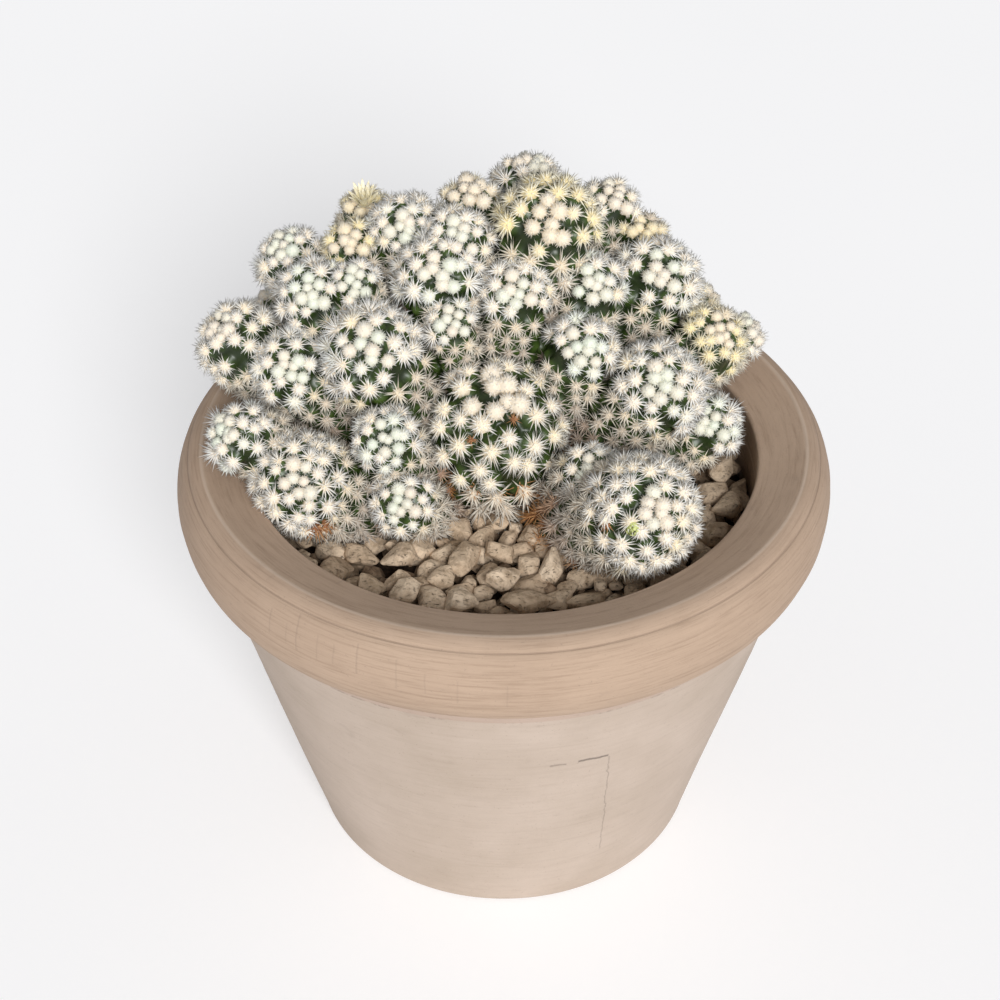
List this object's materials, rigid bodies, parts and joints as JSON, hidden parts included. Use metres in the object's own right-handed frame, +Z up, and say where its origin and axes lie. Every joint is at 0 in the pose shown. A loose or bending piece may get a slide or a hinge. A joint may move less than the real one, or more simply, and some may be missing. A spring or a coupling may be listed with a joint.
{
  "type": "potted clumping ball cactus",
  "caption": "Mound of round, white-spined cactus heads in a tapered clay pot with a thick rolled rim, top-dressed with loose pumice gravel.",
  "frame": {"origin": "middle of the pot's base, on the surface that it stands on", "axes": "+Z up along the pot's axis, -Y towards the front of the plant, +X to its right"},
  "size_m": [0.26, 0.26, 0.2665],
  "materials": {
    "clay": "matt unglazed",
    "potting_soil": "matt",
    "pumice": "matt",
    "cactus": "matt",
    "dried_petals": "matt",
    "bud": "satin"
  },
  "bodies": {
    "root": {"pot": "clay", "potting_soil": "potting_soil", "gravel_layer": "pumice", "stone_01": "pumice", "stone_02": "pumice", "stone_03": "pumice", "stone_04": "pumice", "stone_05": "pumice", "stone_06": "pumice", "stone_07": "pumice", "stone_08": "pumice", "stone_09": "pumice", "stone_10": "pumice", "stone_11": "pumice", "stone_12": "pumice", "cactus_head_01": "cactus", "cactus_head_02": "cactus", "cactus_head_03": "cactus", "cactus_head_04": "cactus", "cactus_head_05": "cactus", "cactus_head_06": "cactus", "cactus_head_07": "cactus", "cactus_head_08": "cactus", "cactus_head_09": "cactus", "cactus_head_10": "cactus", "cactus_head_11": "cactus", "cactus_head_12": "cactus", "cactus_head_13": "cactus", "cactus_head_14": "cactus", "cactus_head_15": "cactus", "cactus_head_16": "cactus", "cactus_head_17": "cactus", "cactus_head_18": "cactus", "cactus_head_19": "cactus", "cactus_head_20": "cactus", "cactus_head_21": "cactus", "cactus_head_22": "cactus", "cactus_head_23": "cactus", "cactus_head_24": "cactus", "cactus_head_25": "cactus", "cactus_head_26": "cactus", "cactus_head_27": "cactus", "cactus_head_28": "cactus", "cactus_head_29": "cactus", "cactus_head_30": "cactus", "cactus_head_31": "cactus", "cactus_head_32": "cactus", "cactus_head_33": "cactus", "cactus_head_34": "cactus", "cactus_head_35": "cactus", "cactus_head_36": "cactus", "cactus_head_37": "cactus", "cactus_head_38": "cactus", "cactus_head_39": "cactus", "cactus_head_40": "cactus", "cactus_head_41": "cactus", "dried_flower": "dried_petals", "flower_bud": "bud"}
  },
  "joints": []
}
